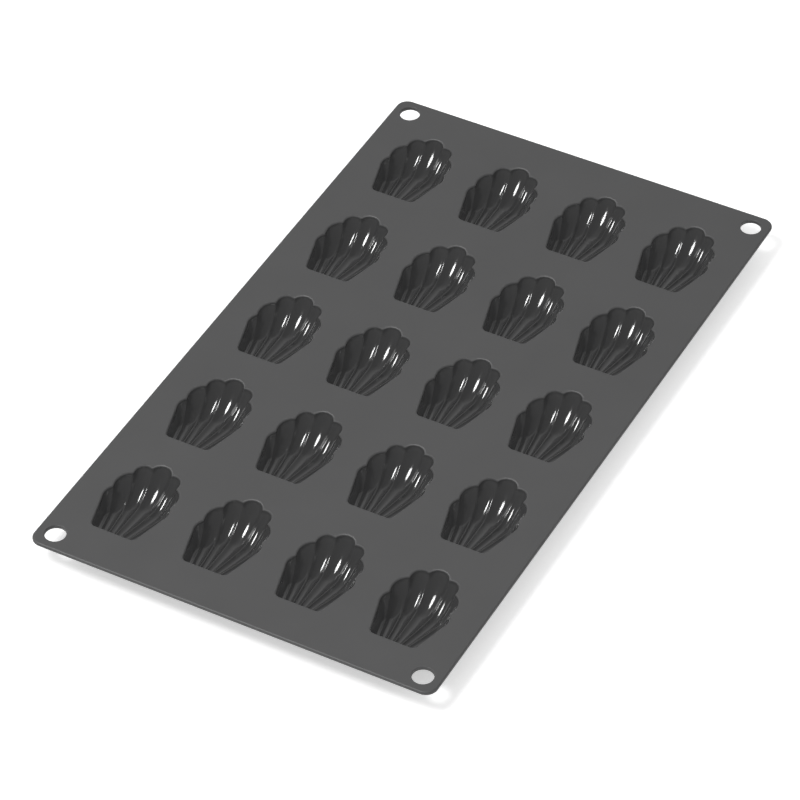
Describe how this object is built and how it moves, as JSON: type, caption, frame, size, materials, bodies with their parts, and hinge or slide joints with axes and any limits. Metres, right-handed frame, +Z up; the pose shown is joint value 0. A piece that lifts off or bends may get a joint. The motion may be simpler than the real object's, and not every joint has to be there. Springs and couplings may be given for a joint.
{
  "type": "flexible madeleine mould",
  "caption": "Thin flexible silicone baking sheet with rows of fluted shell-shaped pockets below it, rounded corners, a round hole in each corner and plain bands between the rows where it bends.",
  "frame": {"origin": "middle of the mould in plan, at the level of the pockets' lowest points, which it stands on", "axes": "+Z up through the open pockets, +Y along the long side towards the pockets' lobed ends, +X across the sheet"},
  "size_m": [0.175, 0.3, 0.0121],
  "materials": {
    "sheet_silicone": "satin dark grey silicone",
    "pocket_silicone": "glossy dark grey silicone inside the pockets"
  },
  "bodies": {
    "row_1": {"end_panel_near": "sheet_silicone", "pocket_1a": "pocket_silicone", "pocket_1b": "pocket_silicone", "pocket_1c": "pocket_silicone", "pocket_1d": "pocket_silicone"},
    "row_2": {"row_panel_2": "sheet_silicone", "pocket_2a": "pocket_silicone", "pocket_2b": "pocket_silicone", "pocket_2c": "pocket_silicone", "pocket_2d": "pocket_silicone", "flex_band_1": "sheet_silicone"},
    "row_3": {"row_panel_3": "sheet_silicone", "pocket_3a": "pocket_silicone", "pocket_3b": "pocket_silicone", "pocket_3c": "pocket_silicone", "pocket_3d": "pocket_silicone", "flex_band_2": "sheet_silicone", "flex_band_3": "sheet_silicone"},
    "row_4": {"row_panel_4": "sheet_silicone", "pocket_4a": "pocket_silicone", "pocket_4b": "pocket_silicone", "pocket_4c": "pocket_silicone", "pocket_4d": "pocket_silicone", "flex_band_4": "sheet_silicone"},
    "row_5": {"end_panel_far": "sheet_silicone", "pocket_5a": "pocket_silicone", "pocket_5b": "pocket_silicone", "pocket_5c": "pocket_silicone", "pocket_5d": "pocket_silicone"}
  },
  "joints": [
    {"name": "fold_2", "type": "hinge", "parent": "row_3", "child": "row_2", "pos_m": [0, -0.0275, 0.01128], "axis": [-1, 0, 0], "range_deg": [-45, 45], "stiffness_Nm_per_rad": 0.013, "deforming": ["flex_band_2"]},
    {"name": "fold_1", "type": "hinge", "parent": "row_2", "child": "row_1", "pos_m": [0, -0.0833, 0.01128], "axis": [-1, 0, 0], "range_deg": [-45, 45], "stiffness_Nm_per_rad": 0.013, "deforming": ["flex_band_1"]},
    {"name": "fold_3", "type": "hinge", "parent": "row_3", "child": "row_4", "pos_m": [0, 0.0283, 0.01128], "axis": [1, 0, 0], "range_deg": [-45, 45], "stiffness_Nm_per_rad": 0.013, "deforming": ["flex_band_3"]},
    {"name": "fold_4", "type": "hinge", "parent": "row_4", "child": "row_5", "pos_m": [0, 0.0841, 0.01128], "axis": [1, 0, 0], "range_deg": [-45, 45], "stiffness_Nm_per_rad": 0.013, "deforming": ["flex_band_4"]}
  ]
}
